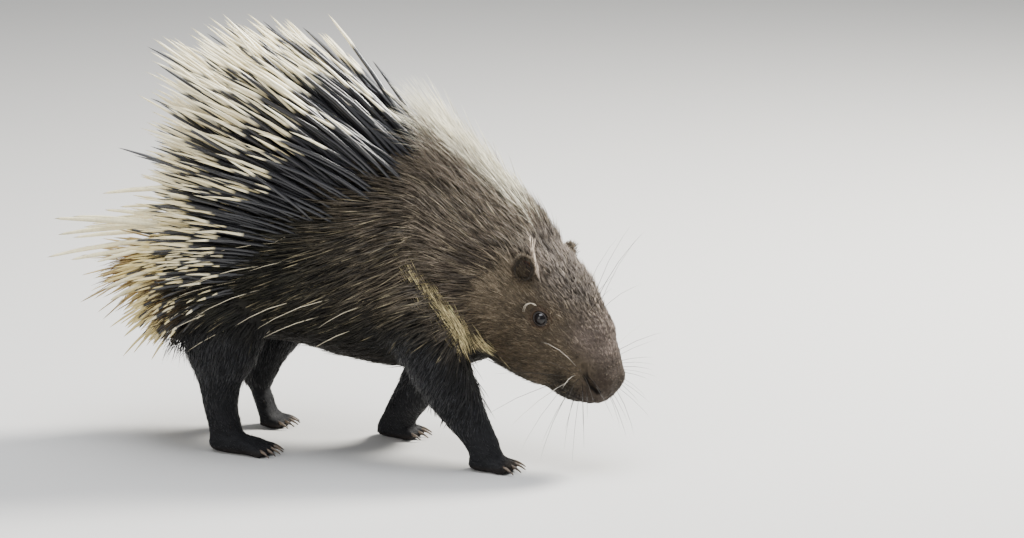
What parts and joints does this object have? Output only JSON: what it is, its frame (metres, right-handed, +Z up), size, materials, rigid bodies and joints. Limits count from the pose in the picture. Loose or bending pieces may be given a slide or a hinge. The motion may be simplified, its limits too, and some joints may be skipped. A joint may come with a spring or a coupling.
{
  "type": "Malayan porcupine, still life-size model",
  "caption": "A life-size walking porcupine, nose held low, with a quilled back, a pale nape crest and a short quilled tail.",
  "frame": {"origin": "on the floor, below the middle of the whole animal's box", "axes": "+X the way it walks, +Y to its own left, +Z up"},
  "size_m": [0.647, 0.3456, 0.4878],
  "materials": {
    "face_fur": "short grey-brown fur",
    "eye": "wet, glossy black",
    "ear_skin": "thin dark skin with short hairs",
    "crest": "long cream-white bristles with brown bases",
    "bristle_coat": "flat dark-brown bristles with tan tips",
    "quill": "satin horn, banded black and cream",
    "leg_fur": "short near-black fur with a cool sheen",
    "paw": "bare dark skin",
    "claw": "worn dark horn"
  },
  "bodies": {
    "root": {"head": "face_fur", "right_eye": "eye", "left_eye": "eye", "right_ear": "ear_skin", "left_ear": "ear_skin", "neck": "crest", "torso": "bristle_coat", "tail": "quill", "right_fore_leg": "leg_fur", "left_fore_leg": "leg_fur", "right_hind_leg": "leg_fur", "left_hind_leg": "leg_fur", "right_fore_foot": "paw", "left_fore_foot": "paw", "right_hind_foot": "paw", "left_hind_foot": "paw"}
  },
  "joints": []
}
